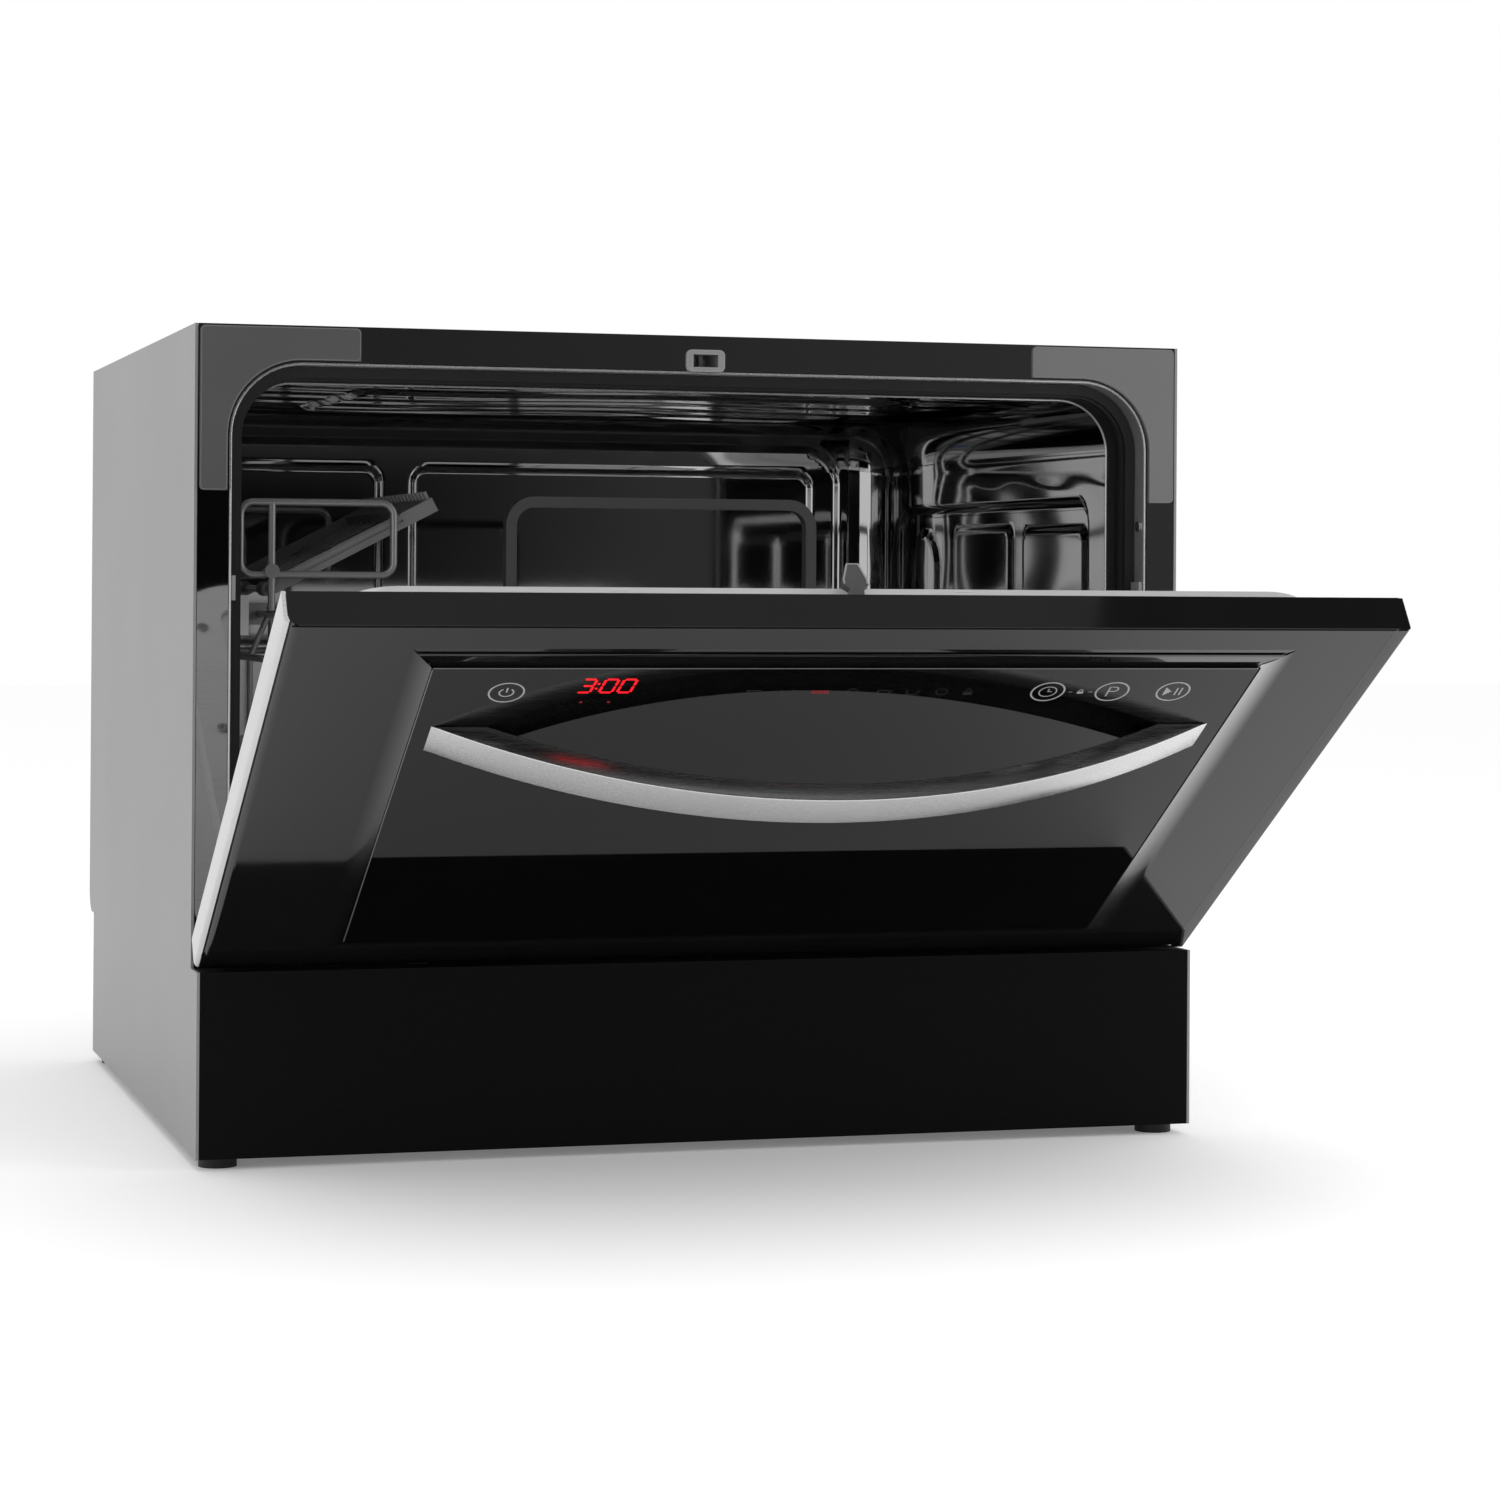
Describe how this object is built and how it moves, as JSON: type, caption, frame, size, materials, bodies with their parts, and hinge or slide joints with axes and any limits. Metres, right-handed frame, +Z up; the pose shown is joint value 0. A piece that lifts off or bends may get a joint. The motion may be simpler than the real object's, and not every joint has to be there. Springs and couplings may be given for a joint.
{
  "type": "countertop dishwasher",
  "caption": "Compact countertop dishwasher with a drop-down front door with a bow handle, a steel tub, a sliding wire rack, a cup shelf, a cutlery basket and a spray arm.",
  "frame": {"origin": "on the counter, under the middle of the casing's footprint (kick panel to rear edge, side to side)", "axes": "+X to the machine's right as seen from the front, +Y from the front to the back, +Z up"},
  "size_m": [0.55, 0.7609, 0.437],
  "materials": {
    "silver_sheet": "satin",
    "black_matte": "fine grain",
    "black_gloss": "gloss",
    "black_glass": "gloss",
    "grey_satin": "satin",
    "stainless": "brushed",
    "liner_silver": "satin",
    "handle_steel": "brushed",
    "galvanised": "zinc coated",
    "rubber": "matte",
    "grey_plastic": "satin",
    "coated_wire": "nylon coated",
    "dark_plastic": "satin",
    "light_plastic": "satin",
    "white_plastic": "satin",
    "blue_plastic": "satin",
    "clear_plastic": "clear",
    "circuit_board": "matte",
    "screw_steel": "bright"
  },
  "bodies": {
    "cabinet": {"base_tray": "dark_plastic", "feet": "rubber", "kick_panel": "black_matte", "side_panel_left": "silver_sheet", "side_panel_right": "silver_sheet", "top_panel": "silver_sheet", "rear_panel": "galvanised", "front_frame": "black_gloss", "corner_plate_left": "grey_satin", "corner_plate_right": "grey_satin", "latch_housing": "grey_plastic", "tub": "stainless", "door_seal": "rubber", "rim_clips": "grey_plastic", "rack_rail_left": "grey_plastic", "rack_rail_right": "grey_plastic", "hinge_bracket_left": "galvanised", "hinge_bracket_right": "galvanised", "sump": "dark_plastic", "filter_plate": "stainless", "spray_post": "dark_plastic", "wash_pump": "dark_plastic", "heater": "stainless", "drain_pump": "dark_plastic", "inlet_valve": "white_plastic", "drain_spigot": "dark_plastic", "softener": "white_plastic", "air_breaker": "clear_plastic", "cable_gland": "dark_plastic", "casing_screws": "screw_steel"},
    "door": {"door_shell": "black_gloss", "door_strip_left": "silver_sheet", "door_strip_right": "silver_sheet", "door_foot_strip": "black_gloss", "touch_panel": "black_glass", "handle": "handle_steel", "door_liner": "liner_silver", "latch_tongue": "grey_plastic", "dispenser": "light_plastic", "control_board": "circuit_board", "hinge_arms": "galvanised", "liner_screws": "screw_steel"},
    "latch_plunger": {"latch_plunger": "light_plastic"},
    "dispenser_lid": {"dispenser_lid": "white_plastic"},
    "rinse_cap": {"rinse_cap": "blue_plastic"},
    "rack": {"rack": "coated_wire", "roller_carriers": "grey_plastic", "rack_guard": "coated_wire"},
    "roller_front_left": {"roller_front_left": "grey_plastic"},
    "roller_front_right": {"roller_front_right": "grey_plastic"},
    "roller_rear_left": {"roller_rear_left": "grey_plastic"},
    "roller_rear_right": {"roller_rear_right": "grey_plastic"},
    "cup_shelf": {"cup_shelf": "grey_plastic"},
    "cutlery_basket": {"cutlery_basket": "grey_plastic", "basket_dividers": "grey_plastic", "basket_handle": "grey_plastic"},
    "filter_cylinder": {"filter_cylinder": "grey_plastic"},
    "spray_arm": {"spray_arm": "grey_plastic"},
    "salt_cap": {"salt_cap": "white_plastic"}
  },
  "joints": [
    {"name": "door_hinge", "type": "hinge", "parent": "cabinet", "child": "door", "pos_m": [0, -0.2385, 0.113], "axis": [1, 0, 0], "range_deg": [-57, 33]},
    {"name": "rack_slide", "type": "slide", "parent": "cabinet", "child": "rack", "axis": [0, -1, 0], "range_m": [-0.1396, 0.081]},
    {"name": "latch_plunger_press", "type": "slide", "parent": "cabinet", "child": "latch_plunger", "axis": [0, 1, 0], "range_m": [0, 0.003], "stiffness_N_per_m": 150},
    {"name": "dispenser_lid_hinge", "type": "hinge", "parent": "door", "child": "dispenser_lid", "pos_m": [0.003, -0.29954, 0.18793], "axis": [-1, 0, 0], "range_deg": [0, 95]},
    {"name": "rinse_cap_turn", "type": "hinge", "parent": "door", "child": "rinse_cap", "pos_m": [0.07, -0.34194, 0.21261], "axis": [0, 0.5446, 0.8387], "range_deg": [0, 90]},
    {"name": "roller_front_left_spin", "type": "hinge", "parent": "rack", "child": "roller_front_left", "pos_m": [-0.2435, -0.0895, 0.285], "axis": [1, 0, 0], "continuous": true},
    {"name": "roller_front_right_spin", "type": "hinge", "parent": "rack", "child": "roller_front_right", "pos_m": [0.2435, -0.0895, 0.285], "axis": [1, 0, 0], "continuous": true},
    {"name": "roller_rear_left_spin", "type": "hinge", "parent": "rack", "child": "roller_rear_left", "pos_m": [-0.2435, 0.0265, 0.285], "axis": [1, 0, 0], "continuous": true},
    {"name": "roller_rear_right_spin", "type": "hinge", "parent": "rack", "child": "roller_rear_right", "pos_m": [0.2435, 0.0265, 0.285], "axis": [1, 0, 0], "continuous": true},
    {"name": "cup_shelf_fold", "type": "hinge", "parent": "rack", "child": "cup_shelf", "pos_m": [-0.224, -0.0555, 0.2991], "axis": [0, -1, 0], "range_deg": [0, 34]},
    {"name": "cutlery_basket_lift", "type": "slide", "parent": "rack", "child": "cutlery_basket", "axis": [0, 0, 1], "range_m": [0, 0.04]},
    {"name": "filter_cylinder_turn", "type": "hinge", "parent": "cabinet", "child": "filter_cylinder", "pos_m": [0.041, 0.0095, 0.125], "axis": [0, 0, 1], "range_deg": [0, 60]},
    {"name": "spray_arm_spin", "type": "hinge", "parent": "cabinet", "child": "spray_arm", "pos_m": [0, 0.0095, 0.138], "axis": [0, 0, 1], "continuous": true},
    {"name": "salt_cap_turn", "type": "hinge", "parent": "cabinet", "child": "salt_cap", "pos_m": [-0.185, -0.1125, 0.127], "axis": [0, 0, 1], "range_deg": [0, 90]}
  ],
  "couplings": [
    {"joint": "rack_slide", "follows": "door_hinge", "m_per_rad": 0.14},
    {"joint": "roller_front_left_spin", "follows": "door_hinge", "ratio": 16.279},
    {"joint": "roller_front_right_spin", "follows": "door_hinge", "ratio": 16.279},
    {"joint": "roller_rear_left_spin", "follows": "door_hinge", "ratio": 16.279},
    {"joint": "roller_rear_right_spin", "follows": "door_hinge", "ratio": 16.279}
  ]
}
